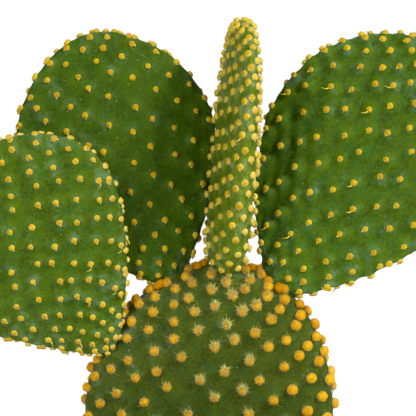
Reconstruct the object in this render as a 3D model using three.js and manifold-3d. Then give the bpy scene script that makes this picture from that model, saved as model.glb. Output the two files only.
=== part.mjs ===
// A paddle cactus in a plain pot: one large pad stands in the soil, and four younger pads grow from
// its rim, two to the left, one edge-on in the middle and one to the right. Every pad is a flattened
// egg set all over with small wool tufts, which sit at the points of a golden-angle spiral.
// Millimetres, +Z up, the origin under the middle of the pot; the front of the plant faces -Y.
import * as THREE from 'three';
import { mergeVertices } from 'three/addons/utils/BufferGeometryUtils.js';
import Module from 'manifold-3d';

const wasm = await Module();
wasm.setup();

// ---- driving dimensions ----------------------------------------------------------------------

const GAP = 0.3; // between any two pieces that touch

const POT = {
  height: 99,
  rimRadius: 60,
  rimHeight: 20,
  rimStep: 3,
  baseRadius: 41,
  wall: 4.5,
  floor: 5,
  lip: 1.6,
  segments: 36,
};
const DRAIN = { count: 4, radius: 4, ring: 25, segments: 12 };
const SOIL = { edgeBelowRim: 1.5, crown: 8, steps: 4, segments: 36 };
const SLACK = 0.2; // on top of GAP, between the flat facets of the soil and those of the pot

// A pad: its foot (base), the lean of its long axis to the right (tilt), towards the viewer (lean)
// and its turn about that axis (turn), in degrees; its length, width and thickness; how much wider
// (flare) and thicker (swell) it is at the top than at the foot; how its sides fall in (waist); how
// far it curves sideways (bend); then the tufts: how many stand on the whole pad's spiral, its sense,
// the angle of the first one and how far they draw together on the faces (gather) and the top (rise),
// and how many more stand along its two edges (edge).
const PADS = {
  mother_pad: {
    base: [0.4, 0, 52], tilt: 3.7, lean: 0, turn: 0,
    length: 121.5, width: 104.5, thickness: 19, flare: -0.06, waist: 0, swell: 0, bend: -0.07,
    tufts: 301, sense: 1, first: 161, gather: 0.07, rise: 0.18, edge: 0,
  },
  left_front_pad: {
    base: [-40.7, -3.8, 137.2], tilt: -37.4, lean: 11, turn: -8,
    length: 105.2, width: 90, thickness: 12, flare: 0.5, waist: -0.09, swell: 0.1, bend: 0,
    tufts: 329, sense: -1, first: 26, gather: 0.12, rise: 0.05, edge: 26,
  },
  left_back_pad: {
    base: [-15.3, 3, 163.8], tilt: -19.6, lean: -8, turn: 14,
    length: 111, width: 83.5, thickness: 12, flare: 0.25, waist: -0.3, swell: 0.1, bend: -0.05,
    tufts: 208, sense: -1, first: 276, gather: 0.14, rise: 0.07, edge: 44,
  },
  centre_pad: {
    base: [6.9, 0, 169.1], tilt: 4.4, lean: 0, turn: -82,
    length: 106.3, width: 62, thickness: 15.6, flare: 0.2, waist: 0.3, swell: -0.32, bend: 0,
    tufts: 266, sense: -1, first: 271, gather: -0.02, rise: 0.16, edge: 0,
  },
  right_pad: {
    base: [29.2, 2, 161.1], tilt: 33.2, lean: -6, turn: -14,
    length: 122.5, width: 88.4, thickness: 12, flare: 0.25, waist: -0.22, swell: 0.1, bend: -0.01,
    tufts: 263, sense: 1, first: 12, gather: 0.17, rise: 0.16, edge: 40,
  },
};
const SECTION_POWER = 2.2; // 2 would make a pad's cross-section a plain ellipse
const THICKNESS_POWER = 0.4; // below 1 keeps a pad thick close to its foot and its tip

// A tuft is a cone: its radius and height where it leaves the skin, the depth of its root.
// On the younger pads every third spot is left bare, to keep the model light.
const OLD_TUFT = { radius: 2.3, height: 2.3, root: 1.4, sides: 4, bareEvery: Infinity };
const YOUNG_TUFT = { radius: 1.5, height: 1.7, root: 1.1, sides: 3, bareEvery: 3 };
const OLD_GRID = { around: 18, along: 14 };
const YOUNG_GRID = { around: 12, along: 10 };
const TUFT_CLEARANCE = 0.8; // tufts nearer than this to another piece are missing, as in nature

const GOLDEN_ANGLE = Math.PI * (3 - Math.sqrt(5));
const WOBBLE = 0.022; // how far a tuft strays from its point of the spiral, along and around the pad
const EDGE_WOBBLE = 0.3; // how far the tufts of an edge stray from its middle, in radians
const SLOPE_STEP = 1e-3;

const COLOURS = {
  pot: 0xb4694a,
  soil: 0x4a3a2a,
  old: 0x4f6b34,
  young: 0x3f7a20,
};

// ---- solids ------------------------------------------------------------------------------------

/** The closed solid of a geometry, moved by an optional matrix. */
function solidOf(geometry, matrix) {
  const bare = geometry.clone();
  bare.deleteAttribute('normal');
  bare.deleteAttribute('uv');
  if (matrix) {
    bare.applyMatrix4(matrix);
  }
  const merged = mergeVertices(bare, 1e-5);
  return new wasm.Manifold(new wasm.Mesh({
    numProp: 3,
    vertProperties: new Float32Array(merged.attributes.position.array),
    triVerts: new Uint32Array(merged.index.array),
  }));
}

/** The largest body of a solid: cutting may leave loose scraps, which are dropped. */
function mainBody(solid) {
  const bodies = solid.decompose();
  return bodies.reduce((best, body) => (body.volume() > best.volume() ? body : best));
}

/** A named mesh of one solid in one colour. */
function meshOf(name, solid, colour, roughness) {
  const { vertProperties, triVerts } = solid.getMesh();
  const geometry = new THREE.BufferGeometry();
  geometry.setAttribute('position', new THREE.BufferAttribute(new Float32Array(vertProperties), 3));
  geometry.setIndex(new THREE.BufferAttribute(new Uint32Array(triVerts), 1));
  geometry.computeVertexNormals();
  const material = new THREE.MeshStandardMaterial({ color: colour, roughness, metalness: 0 });
  const mesh = new THREE.Mesh(geometry, material);
  mesh.name = name;
  return mesh;
}

/** A solid turned about the Z axis from [radius, height] pairs that start and end on the axis. */
function turned(profile, segments) {
  const points = profile.map(([radius, height]) => new THREE.Vector2(radius, height));
  const upright = new THREE.Matrix4().makeRotationX(Math.PI / 2);
  return solidOf(new THREE.LatheGeometry(points, segments), upright);
}

// ---- pads --------------------------------------------------------------------------------------

/** The matrix that stands a pad's own X (width), Y (length) and Z (its face) in the plant. */
function padMatrix(pad) {
  const [tilt, lean, turn] = [pad.tilt, pad.lean, pad.turn].map(THREE.MathUtils.degToRad);
  const pose = new THREE.Matrix4().makeRotationFromEuler(new THREE.Euler(lean, turn, -tilt, 'ZXY'));
  return new THREE.Matrix4().makeRotationX(Math.PI / 2).multiply(pose).setPosition(...pad.base);
}

/** Half the width and half the thickness of a pad at height s, from -1 at its foot to 1 at its tip. */
function halfSizes(pad, s, grow) {
  const circle = Math.sqrt(Math.max(0, 1 - s * s));
  const width = (pad.width / 2) * circle * (1 + pad.flare * s + pad.waist * s * s);
  const thickness = (pad.thickness / 2) * circle ** THICKNESS_POWER * (1 + pad.swell * s);
  return [width + grow * circle, thickness + grow * circle];
}

/** The point of a pad's skin at height s and angle around it, raised by grow, in the pad's own axes. */
function skinPoint(pad, s, angle, grow = 0) {
  const [halfWidth, halfThickness] = halfSizes(pad, s, grow);
  const across = Math.sign(Math.cos(angle)) * Math.abs(Math.cos(angle)) ** (2 / SECTION_POWER);
  const through = Math.sign(Math.sin(angle)) * Math.abs(Math.sin(angle)) ** (2 / SECTION_POWER);
  return new THREE.Vector3(
    halfWidth * across + (pad.bend * pad.width * (1 - s * s)) / 2,
    (pad.length / 2) * (1 + s) + grow * s,
    halfThickness * through,
  );
}

/** The pad without its tufts, as a solid in the plant's axes: a sphere drawn out to the pad's skin. */
function padBody(pad, grid, grow = 0) {
  const geometry = new THREE.SphereGeometry(1, grid.around, grid.along);
  const position = geometry.attributes.position;
  const point = new THREE.Vector3();
  for (let i = 0; i < position.count; i += 1) {
    point.fromBufferAttribute(position, i);
    const angle = Math.atan2(point.z, point.x);
    const skin = skinPoint(pad, THREE.MathUtils.clamp(point.y, -1, 1), angle, grow);
    position.setXYZ(i, skin.x, skin.y, skin.z);
  }
  return solidOf(geometry, padMatrix(pad));
}

/** How deep a point of the plant lies in a pad whose skin is raised by grow: under 1 is inside. */
function depthIn(pad, point, grow) {
  const own = point.clone().applyMatrix4(padMatrix(pad).invert());
  const s = (own.y - pad.length / 2) / (pad.length / 2 + grow);
  if (Math.abs(s) >= 1) {
    return 2;
  }
  const [halfWidth, halfThickness] = halfSizes(pad, s, 0);
  const across = Math.abs(own.x - (pad.bend * pad.width * (1 - s * s)) / 2) / (halfWidth + grow);
  const through = Math.abs(own.z) / (halfThickness + grow);
  return across ** SECTION_POWER + through ** SECTION_POWER;
}

/** The points of a pad's tufts as [height s, angle]: those of the golden-angle spiral from foot to
    tip, then those of the two edges by turns, each put a little out of line by its number. */
function tuftPoints(pad) {
  const points = [];
  for (let i = 0; i < pad.tufts; i += 1) {
    const even = -1 + (2 * (i + 0.5)) / pad.tufts;
    const s = even + (pad.rise + WOBBLE * Math.sin(i * i)) * (1 - even * even);
    const turn = THREE.MathUtils.degToRad(pad.first) + pad.sense * GOLDEN_ANGLE * i;
    points.push([s, turn + pad.gather * Math.sin(2 * turn) + 1.5 * WOBBLE * Math.sin(1.5 * i * i)]);
  }
  for (let i = 0; i < pad.edge; i += 1) {
    const s = -Math.cos((Math.PI * (i + 0.5)) / pad.edge);
    points.push([s, Math.PI * (i % 2) + EDGE_WOBBLE * Math.sin(i * i)]);
  }
  return points;
}

/** The spots of a pad's tufts, each with its place on the skin and the direction it points in. */
function tuftSpots(pad) {
  const matrix = padMatrix(pad);
  const middle = new THREE.Vector3(0, pad.length / 2, 0);
  return tuftPoints(pad).map(([s, angle]) => {
    const place = skinPoint(pad, s, angle);
    const along = skinPoint(pad, s + SLOPE_STEP * (s > 0 ? -1 : 1), angle).sub(place);
    const around = skinPoint(pad, s, angle + SLOPE_STEP).sub(place);
    const out = around.cross(along).normalize();
    if (out.dot(place.clone().sub(middle)) < 0) {
      out.negate();
    }
    return { place: place.applyMatrix4(matrix), out: out.transformDirection(matrix) };
  });
}

/** One tuft as a cone whose root is sunk in the pad. */
function tuftSolid(spot, tuft) {
  const slope = tuft.radius / tuft.height;
  const tall = tuft.height + tuft.root;
  const cone = new THREE.ConeGeometry(tall * slope, tall, tuft.sides);
  cone.translate(0, tall / 2 - tuft.root, 0);
  const turn = new THREE.Quaternion().setFromUnitVectors(new THREE.Vector3(0, 1, 0), spot.out);
  return solidOf(cone, new THREE.Matrix4().compose(spot.place, turn, new THREE.Vector3(1, 1, 1)));
}

/** The far end of a tuft. */
function tipOf(spot, tuft) {
  return spot.place.clone().addScaledVector(spot.out, tuft.height);
}

/** Whether a tuft stands clear of the other pads and of the tufts placed before it on them. */
function standsClear(spot, tuft, others, placed) {
  const tip = tipOf(spot, tuft);
  const reach = tuft.radius + TUFT_CLEARANCE;
  for (const pad of others) {
    if (depthIn(pad, spot.place, reach) < 1 || depthIn(pad, tip, reach) < 1) {
      return false;
    }
  }
  return placed.every((other) => spot.place.distanceTo(other.place) > reach + other.radius);
}

// ---- pot and soil --------------------------------------------------------------------------------

/** The inner radius of the pot at a height above its floor. */
function potInside(height) {
  const shoulder = POT.height - POT.rimHeight;
  const slope = (POT.rimRadius - POT.rimStep - POT.baseRadius) / shoulder;
  return POT.baseRadius - POT.wall + slope * height;
}

/** A plain tapered pot with a thick rim and a ring of drain holes through its floor. */
function makePot() {
  const shoulder = POT.height - POT.rimHeight;
  const neck = POT.rimRadius - POT.rimStep;
  const inner = potInside(shoulder);
  const body = turned([
    [0, 0],
    [POT.baseRadius - POT.lip, 0],
    [POT.baseRadius, POT.lip],
    [neck, shoulder],
    [POT.rimRadius - POT.lip / 2, shoulder + POT.lip],
    [POT.rimRadius, POT.height - POT.lip],
    [POT.rimRadius - POT.lip, POT.height],
    [POT.rimRadius - POT.wall + POT.lip / 2, POT.height],
    [POT.rimRadius - POT.wall, POT.height - POT.lip],
    [inner, shoulder],
    [potInside(POT.floor), POT.floor],
    [0, POT.floor],
  ], POT.segments);
  let pot = body;
  for (let i = 0; i < DRAIN.count; i += 1) {
    const angle = ((i + 0.5) * 2 * Math.PI) / DRAIN.count;
    const hole = new THREE.CylinderGeometry(DRAIN.radius, DRAIN.radius, 3 * POT.floor, DRAIN.segments);
    hole.rotateX(Math.PI / 2);
    hole.translate(DRAIN.ring * Math.cos(angle), DRAIN.ring * Math.sin(angle), POT.floor / 2);
    pot = pot.subtract(solidOf(hole));
  }
  return meshOf('pot', pot, COLOURS.pot, 0.85);
}

/** The height of the soil's surface at a distance from the pot's axis. */
function soilTop(radius) {
  const edge = POT.height - SOIL.edgeBelowRim;
  return edge + SOIL.crown * Math.max(0, 1 - (radius / POT.rimRadius) ** 2);
}

/** The soil that fills the pot, crowned in the middle, with the plain hole that the plant stands in. */
function makeSoil(hole) {
  const shoulder = POT.height - POT.rimHeight;
  const edge = POT.height - SOIL.edgeBelowRim;
  const edgeRadius = POT.rimRadius - POT.wall - GAP - SLACK;
  const profile = [
    [0, POT.floor + GAP],
    [potInside(POT.floor) - GAP - SLACK, POT.floor + GAP],
    [potInside(shoulder) - GAP - SLACK, shoulder],
    [edgeRadius, edge],
  ];
  for (let i = SOIL.steps - 1; i >= 0; i -= 1) {
    const radius = (edgeRadius * i) / SOIL.steps;
    profile.push([radius, soilTop(radius)]);
  }
  const soil = turned(profile, SOIL.segments).subtract(hole);
  return meshOf('soil', mainBody(soil), COLOURS.soil, 0.95);
}

// ---- the plant -----------------------------------------------------------------------------------

/** The five pads with their tufts: the younger ones are seated on the mother pad's rim, and the
    outer ones give way where they press on the centre pad. */
function makePlant(motherGrown) {
  const centreGrown = padBody(PADS.centre_pad, YOUNG_GRID, GAP);
  const placed = [];
  const meshes = [];
  for (const [name, pad] of Object.entries(PADS)) {
    const isMother = pad === PADS.mother_pad;
    const tuft = isMother ? OLD_TUFT : YOUNG_TUFT;
    const others = Object.values(PADS).filter((other) => other !== pad);
    const aboveSoil = (spot) => spot.place.z > soilTop(0) + tuft.radius + GAP;
    const spots = tuftSpots(pad)
      .filter((spot, i) => i % tuft.bareEvery !== tuft.bareEvery - 1)
      .filter((spot) => aboveSoil(spot) && standsClear(spot, tuft, others, placed));
    let body = padBody(pad, isMother ? OLD_GRID : YOUNG_GRID);
    if (!isMother) {
      const pressed = pad === PADS.centre_pad ? body : body.subtract(centreGrown);
      body = mainBody(pressed.subtract(motherGrown));
    }
    const solid = wasm.Manifold.union([body, ...spots.map((spot) => tuftSolid(spot, tuft))]);
    placed.push(...spots.map((spot) => ({ place: spot.place, radius: tuft.radius })));
    const colour = isMother ? COLOURS.old : COLOURS.young;
    meshes.push(meshOf(name, mainBody(solid), colour, 0.6));
  }
  return meshes;
}

const motherGrown = padBody(PADS.mother_pad, OLD_GRID, GAP);
const plant = new THREE.Group();
plant.name = 'plant';
plant.add(...makePlant(motherGrown));

const pottedCactus = new THREE.Group();
pottedCactus.name = 'potted_paddle_cactus';
pottedCactus.add(makePot(), makeSoil(motherGrown), plant);

export default pottedCactus;
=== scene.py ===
from math import cos, pi, radians, sin

import bpy
import numpy as np
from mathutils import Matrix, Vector


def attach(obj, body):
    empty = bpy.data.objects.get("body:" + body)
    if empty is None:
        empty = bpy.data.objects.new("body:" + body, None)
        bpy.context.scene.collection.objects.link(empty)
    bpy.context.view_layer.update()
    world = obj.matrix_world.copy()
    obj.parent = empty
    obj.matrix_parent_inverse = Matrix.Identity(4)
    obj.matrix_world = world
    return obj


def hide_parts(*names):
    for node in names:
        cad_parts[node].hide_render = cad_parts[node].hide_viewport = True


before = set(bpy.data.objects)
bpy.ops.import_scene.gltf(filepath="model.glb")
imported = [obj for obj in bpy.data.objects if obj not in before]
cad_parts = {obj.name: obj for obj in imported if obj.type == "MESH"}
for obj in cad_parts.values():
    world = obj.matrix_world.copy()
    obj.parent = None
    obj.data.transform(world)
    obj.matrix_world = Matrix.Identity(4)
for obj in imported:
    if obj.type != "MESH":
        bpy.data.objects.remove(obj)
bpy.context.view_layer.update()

# ---- The pot -------------------------------------------------------------------------------------
# A plain pot of fired clay: a tapered wall, a thick rim and four drain holes through its floor. It
# is thrown on a wheel, so every ring of it is round, and it stands on its flat base.

MM = 1e-3
POT_HEIGHT = 99
POT_RIM_RADIUS = 60
POT_RIM_HEIGHT = 20
POT_NECK_RADIUS = 57
POT_BASE_RADIUS = 41
POT_WALL = 4.5
POT_FLOOR = 5
POT_EDGE = 1.6
POT_SIDES = 160
CORNER_STEPS = 6
GROOVE_DEPTH = 0.15
GROOVE_HEIGHT = 0.6
RIM_LEDGE = 0.4
DRAIN_RADIUS = 4
DRAIN_RING = 25
DRAIN_COUNT = 4
DRAIN_SIDES = 32


def srgb(red, green, blue):
    """A colour given as the 0 to 255 numbers of a screen, in the linear numbers of a shader."""
    share = np.array([red, green, blue]) / 255
    linear = np.where(share <= 0.04045, share / 12.92, ((share + 0.055) / 1.055) ** 2.4)
    return (*linear.tolist(), 1.0)


class Value:
    """One output of a node in a finish, which takes part in sums as a Python number does."""

    def __init__(self, finish, socket):
        self.finish = finish
        self.socket = socket

    def math(self, operation, first, second, clamp=False):
        """A Math node on two values or numbers, its result held between 0 and 1 if clamp is set."""
        settings = {"operation": operation, "use_clamp": clamp}
        return self.finish.node("ShaderNodeMath", settings, {0: first, 1: second})

    def __add__(self, other):
        return self.math("ADD", self, other)

    def __radd__(self, other):
        return self.math("ADD", other, self)

    def __sub__(self, other):
        return self.math("SUBTRACT", self, other)

    def __rsub__(self, other):
        return self.math("SUBTRACT", other, self)

    def __mul__(self, other):
        return self.math("MULTIPLY", self, other)

    def __rmul__(self, other):
        return self.math("MULTIPLY", other, self)

    def above(self, low, high):
        """0 up to low, 1 from high on, and a straight slope between them."""
        return self.math("MULTIPLY", self - low, 1 / (high - low), clamp=True)


class Finish:
    """A material built up node by node round one shader."""

    def __init__(self, name, **constants):
        self.material = bpy.data.materials.new(name)
        self.material.use_nodes = True
        self.tree = self.material.node_tree
        self.shader = self.tree.nodes["Principled BSDF"]
        for socket, value in constants.items():
            self.shader.inputs[socket.replace("_", " ")].default_value = value
        self.place = self.node("ShaderNodeTexCoord", output="Object")

    def node(self, kind, settings=None, inputs=None, output=0):
        """Adds a node: its settings first, then the values or links of its sockets."""
        node = self.tree.nodes.new(kind)
        for name, value in (settings or {}).items():
            setattr(node, name, value)
        for key, value in (inputs or {}).items():
            self.feed(node.inputs[key], value)
        return Value(self, node.outputs[output])

    def feed(self, socket, value):
        """Links a value to a socket, or sets the socket to a plain number or colour."""
        if isinstance(value, Value):
            self.tree.links.new(value.socket, socket)
        else:
            socket.default_value = value

    def noise(self, size, detail=3.0, roughness=0.5, place=None):
        """Cloudy noise from 0 to 1 whose features are about size across, in metres."""
        inputs = {"Vector": place or self.place, "Scale": 1 / size, "Detail": detail,
                  "Roughness": roughness}
        return self.node("ShaderNodeTexNoise", {}, inputs)

    def cells(self, size):
        """The distance to the nearest of many scattered points, about size apart, in cell sizes."""
        return self.node("ShaderNodeTexVoronoi", {}, {"Vector": self.place, "Scale": 1 / size})

    def attribute(self, name):
        """A number that the mesh itself carries at each of its points."""
        return self.node("ShaderNodeAttribute", {"attribute_name": name}, output="Fac")

    def mix(self, share, first, second):
        """The first colour where share is 0, the second where it is 1."""
        inputs = {0: share, 6: first, 7: second}
        return self.node("ShaderNodeMix", {"data_type": "RGBA"}, inputs, output=2)

    def bump(self, height, depth, strength=1.0):
        """Feeds a height from 0 to 1 to the surface as relief that is depth metres deep."""
        inputs = {"Height": height, "Distance": depth, "Strength": strength}
        self.feed(self.shader.inputs["Normal"], self.node("ShaderNodeBump", {}, inputs))

    def surface(self, colour, roughness):
        """Feeds the colour and the roughness of the surface."""
        self.feed(self.shader.inputs["Base Color"], colour)
        self.feed(self.shader.inputs["Roughness"], roughness)
        return self.material


def volume_of(points, faces):
    """Six times the volume inside closed faces, positive where they point out: each face is fanned
    into triangles, and the triple products of their corners are added up."""
    total = 0.0
    for block in faces:
        for k in range(1, block.shape[1] - 1):
            a, b, c = (points[block[:, i]] for i in (0, k, k + 1))
            total += np.einsum("ij,ij->", a, np.cross(b, c))
    return total


def make_piece(name, points, faces, material, values=None, smooth=True):
    """A mesh at the origin from points in millimetres and blocks of faces with equal corner counts,
    turned to point outwards; values are numbers that its points carry for the material."""
    if volume_of(points, faces) < 0:
        faces = [block[:, ::-1] for block in faces]
    corners = np.concatenate([block.ravel() for block in faces])
    counts = np.concatenate([np.full(len(block), block.shape[1]) for block in faces])
    mesh = bpy.data.meshes.new(name)
    mesh.vertices.add(len(points))
    mesh.vertices.foreach_set("co", (points * MM).ravel().astype(np.float32))
    mesh.loops.add(len(corners))
    mesh.loops.foreach_set("vertex_index", corners.astype(np.int32))
    mesh.polygons.add(len(counts))
    mesh.polygons.foreach_set("loop_start", (np.cumsum(counts) - counts).astype(np.int32))
    mesh.polygons.foreach_set("use_smooth", np.full(len(counts), smooth))
    mesh.update(calc_edges=True)
    for key, numbers in (values or {}).items():
        mesh.attributes.new(key, "FLOAT", "POINT").data.foreach_set("value", numbers.astype(np.float32))
    mesh.materials.append(material)
    thing = bpy.data.objects.new(name, mesh)
    bpy.context.scene.collection.objects.link(thing)
    return thing


def ring_faces(rows, around):
    """Quads between rows of points that each close on themselves."""
    row = np.arange(rows - 1)[:, None] * around
    next_row = row + around
    here = np.arange(around)
    after = (here + 1) % around
    quads = np.stack([row + here, row + after, next_row + after, next_row + here], -1)
    return quads.reshape(-1, 4)


def closed_faces(rows, around):
    """The faces of rows of rings closed by two poles, whose points come after those of the rings."""
    here = np.arange(around)
    after = (here + 1) % around
    first = np.stack([np.full(around, rows * around), after, here], -1)
    last_row = (rows - 1) * around
    last = np.stack([np.full(around, rows * around + 1), last_row + here, last_row + after], -1)
    return [ring_faces(rows, around), np.concatenate([first, last])]


def turned(profile, around):
    """Points of a profile of (radius, height) turned about the Z axis; it starts and ends on it."""
    radius, height = np.array(profile[1:-1]).T
    angle = np.linspace(0, 2 * pi, around, endpoint=False)
    ring = np.stack([np.cos(angle), np.sin(angle), np.zeros(around)], -1)
    rings = radius[:, None, None] * ring + height[:, None, None] * np.array([0, 0, 1])
    poles = np.array([[0, 0, profile[0][1]], [0, 0, profile[-1][1]]])
    return np.concatenate([rings.reshape(-1, 3), poles])


def corner(radius, height, size, start, end):
    """A round corner of a profile: an arc about (radius, height) from one angle to another."""
    angle = np.radians(np.linspace(start, end, CORNER_STEPS))
    return list(zip(radius + size * np.cos(angle), height + size * np.sin(angle)))


def straight(first, last, steps):
    """Evenly spaced points of a profile from first to last, both left out."""
    share = np.linspace(0, 1, steps + 2)[1:-1]
    return [(first[0] + (last[0] - first[0]) * t, first[1] + (last[1] - first[1]) * t) for t in share]


def clay_finish():
    """Fired clay: orange brown clouds, fine pores, faint throwing rings, lime bloom near the foot."""
    clay = Finish("fired_clay", Specular_IOR_Level=0.25)
    height = clay.node("ShaderNodeSeparateXYZ", {}, {0: clay.place}, output="Z")
    rings = clay.node("ShaderNodeMapping", {}, {"Vector": clay.place, "Scale": (0.03, 0.03, 1.0)})
    clouds = clay.noise(0.03, 5.0, 0.6)
    pores = clay.cells(0.0011)
    ring = clay.noise(0.0022, 2.0, 0.5, rings)
    lime = clay.noise(0.018, 6.0, 0.65) * (1 - height.above(0.01, 0.07))
    body = clay.mix(clouds.above(0.3, 0.7), srgb(150, 80, 52), srgb(190, 112, 78))
    body = clay.mix(ring.above(0.45, 0.75) * 0.25, body, srgb(128, 66, 42))
    body = clay.mix(pores.above(0.0, 0.25) * -0.35 + 0.35, body, srgb(105, 56, 38))
    body = clay.mix(lime.above(0.42, 0.62) * 0.5, body, srgb(214, 196, 178))
    relief = ring * 0.5 + pores.above(0.0, 0.3) * 0.3 + clay.noise(0.0005, 2.0) * 0.2
    clay.bump(relief, 0.0004, 0.6)
    return clay.surface(body, clouds * 0.15 + 0.75)


shoulder = POT_HEIGHT - POT_RIM_HEIGHT
inner_neck = POT_NECK_RADIUS - POT_WALL
inner_base = POT_BASE_RADIUS - POT_WALL + (POT_NECK_RADIUS - POT_BASE_RADIUS) * POT_FLOOR / shoulder
rim_inside = POT_RIM_RADIUS - POT_WALL
pot_profile = [
    (0, 0),
    (POT_BASE_RADIUS * 0.5, 0),
    *corner(POT_BASE_RADIUS - POT_EDGE, POT_EDGE, POT_EDGE, -90, -10),
    *straight((POT_BASE_RADIUS, POT_EDGE), (POT_NECK_RADIUS, shoulder), 12),
    (POT_NECK_RADIUS - GROOVE_DEPTH, shoulder - GROOVE_HEIGHT),
    (POT_NECK_RADIUS + RIM_LEDGE, shoulder),
    *corner(POT_RIM_RADIUS - POT_EDGE, shoulder + POT_EDGE, POT_EDGE, -80, 0),
    *straight((POT_RIM_RADIUS, shoulder + POT_EDGE), (POT_RIM_RADIUS, POT_HEIGHT - POT_EDGE), 3),
    *corner(POT_RIM_RADIUS - POT_EDGE, POT_HEIGHT - POT_EDGE, POT_EDGE, 0, 90),
    *corner(rim_inside + POT_EDGE, POT_HEIGHT - POT_EDGE, POT_EDGE, 90, 180),
    *straight((rim_inside, POT_HEIGHT - POT_EDGE), (inner_neck, shoulder), 3),
    (inner_neck, shoulder),
    *straight((inner_neck, shoulder), (inner_base, POT_FLOOR), 6),
    *corner(inner_base - POT_EDGE, POT_FLOOR + POT_EDGE, POT_EDGE, 0, -90),
    (inner_base * 0.5, POT_FLOOR),
    (0, POT_FLOOR),
]
pot = make_piece("clay_pot", turned(pot_profile, POT_SIDES),
                 closed_faces(len(pot_profile) - 2, POT_SIDES), clay_finish())


def pierce(thing, drills):
    """Cuts the drill solids out of a thing and takes them away."""
    for drill in drills:
        cut = thing.modifiers.new("drain", "BOOLEAN")
        cut.operation = "DIFFERENCE"
        cut.solver = "EXACT"
        cut.object = drill
    whole = thing.evaluated_get(bpy.context.evaluated_depsgraph_get())
    old = thing.data
    thing.data = bpy.data.meshes.new_from_object(whole)
    thing.modifiers.clear()
    bpy.data.meshes.remove(old)
    for drill in drills:
        bpy.data.objects.remove(drill)


def drain_drill(turn):
    """A round bar that reaches through the pot's floor, at one of the places of the drain holes."""
    low = -POT_FLOOR
    high = 2 * POT_FLOOR
    bar = turned([(0, low), (DRAIN_RADIUS, low), (DRAIN_RADIUS, high), (0, high)], DRAIN_SIDES)
    place = np.array([DRAIN_RING * cos(turn), DRAIN_RING * sin(turn), 0])
    return make_piece("drill", bar + place, closed_faces(2, DRAIN_SIDES), pot.data.materials[0])


pierce(pot, [drain_drill((i + 0.5) * 2 * pi / DRAIN_COUNT) for i in range(DRAIN_COUNT)])
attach(pot, "root")
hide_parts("pot")

# ---- The soil ------------------------------------------------------------------------------------
# Damp peaty soil that fills the pot almost to its rim and is heaped round the plant. Its top is a
# crumbly height field, and loose crumbs and root fibres lie on it.

SOIL_BELOW_RIM = 1.5
SOIL_EDGE = POT_HEIGHT - SOIL_BELOW_RIM
SOIL_CROWN = 8
SOIL_GAP = 0.5
SOIL_RADIUS = rim_inside - SOIL_GAP
SOIL_BOTTOM = POT_FLOOR + 0.3
SOIL_BOTTOM_GAP = 2
SOIL_RIM_DEPTH = 3
SOIL_ROWS = 110
SOIL_AROUND = 220
LUMPS = 900
LUMP_BATCH = 100
LUMP_SMALLEST = 0.9
LUMP_SPREAD = 2.4
LUMP_RISE = 0.45
LUMP_SINK = 0.12
# The larger clods: where each lies, across and backwards, its width and its height.
CLODS = [(-51, 12, 6.5, 6.0), (-46, -14, 5.0, 3.0), (52, 10, 6.0, 5.5), (44, -20, 5.0, 3.0)]
soil_random = np.random.default_rng(11)
lump_draw = soil_random.random((LUMPS, 4))


def soil_height(x, y):
    """The soil's top: a shallow crown that falls off with the square of the radius, with seeded round
    lumps and a few larger clods, each a bell-shaped bump, added on it."""
    lump_radius = SOIL_RADIUS * np.sqrt(lump_draw[:, 0])
    lump_angle = 2 * pi * lump_draw[:, 1]
    lump_x = lump_radius * np.cos(lump_angle)
    lump_y = lump_radius * np.sin(lump_angle)
    size = LUMP_SMALLEST + LUMP_SPREAD * lump_draw[:, 2] ** 2
    rise = size * (LUMP_RISE * lump_draw[:, 3] - LUMP_SINK)
    height = SOIL_EDGE + SOIL_CROWN * np.maximum(0, 1 - (x**2 + y**2) / POT_RIM_RADIUS**2)
    for part in range(0, len(size), LUMP_BATCH):
        k = slice(part, part + LUMP_BATCH)
        gap = (x[:, None] - lump_x[k]) ** 2 + (y[:, None] - lump_y[k]) ** 2
        height = height + (rise[k] * np.exp(-gap / (2 * size[k] ** 2))).sum(axis=1)
    for clod_x, clod_y, width, tall in CLODS:
        gap = (x - clod_x) ** 2 + (y - clod_y) ** 2
        height = height + tall * np.exp(-((gap / width**2) ** 1.5))
    return height


def soil_finish(name, dark, light, gap):
    """Damp peat: dark and lighter crumbs by a number on each point and by cloudy noise."""
    peat = Finish(name, Specular_IOR_Level=0.2)
    crumbs = peat.cells(gap)
    clouds = peat.noise(0.004, 5.0, 0.65)
    body = peat.mix((clouds + peat.attribute("tone") * 0.35 - 0.15).above(0.3, 0.8), dark, light)
    body = peat.mix(1 - crumbs.above(0.1, 0.5), body, dark)
    peat.bump(crumbs * 0.6 + clouds * 0.4, 0.0006, 0.9)
    return peat.surface(body, clouds * 0.1 + 0.85)


rows = SOIL_RADIUS * np.linspace(1 / SOIL_ROWS, 1, SOIL_ROWS)
angles = np.linspace(0, 2 * pi, SOIL_AROUND, endpoint=False)
top_x = (rows[:, None] * np.cos(angles)).ravel()
top_y = (rows[:, None] * np.sin(angles)).ravel()
top = np.stack([top_x, top_y, soil_height(top_x, top_y)], -1)
circle = np.stack([np.cos(angles), np.sin(angles), np.zeros(SOIL_AROUND)], -1)
wall = [
    circle * SOIL_RADIUS + [0, 0, SOIL_EDGE - SOIL_RIM_DEPTH],
    circle * (inner_neck - SOIL_GAP) + [0, 0, shoulder],
    circle * (inner_base - SOIL_BOTTOM_GAP) + [0, 0, SOIL_BOTTOM],
]
poles = np.array([[0, 0, soil_height(np.zeros(1), np.zeros(1))[0]], [0, 0, SOIL_BOTTOM]])
soil_points = np.concatenate([top, *wall, poles])
soil = make_piece("soil_fill", soil_points, closed_faces(SOIL_ROWS + len(wall), SOIL_AROUND),
                  soil_finish("damp_peat", srgb(44, 35, 22), srgb(104, 92, 58), 0.0016),
                  {"tone": np.full(len(soil_points), 0.4)})
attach(soil, "root")
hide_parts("soil")


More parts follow.
